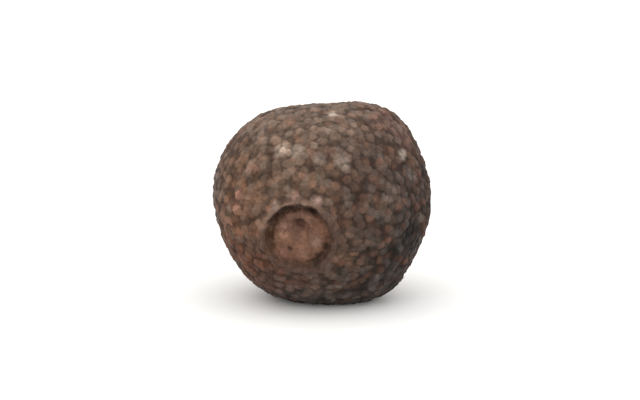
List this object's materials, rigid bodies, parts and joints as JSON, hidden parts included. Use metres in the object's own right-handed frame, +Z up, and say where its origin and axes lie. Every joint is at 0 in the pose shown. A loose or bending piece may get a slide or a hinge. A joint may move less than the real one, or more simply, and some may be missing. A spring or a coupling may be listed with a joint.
{
  "type": "allspice berry",
  "caption": "Dried allspice berry, a hard round spice with pebbled brown skin, a ringed calyx crown, a small stem scar and a flat spot to rest on.",
  "frame": {"origin": "on the rest spot's plane, below the middle of the berry's bounding box", "axes": "+Z up as it rests; -Y to the front, where the calyx crown faces, a little to the left and down; +X to the right"},
  "size_m": [0.007, 0.0068, 0.0064],
  "materials": {
    "dried_pericarp": "matt, pebbled and dusty, dried fruit skin; red-brown to grey-brown, darker between the pebbles"
  },
  "bodies": {
    "root": {"berry": "dried_pericarp"}
  },
  "joints": []
}
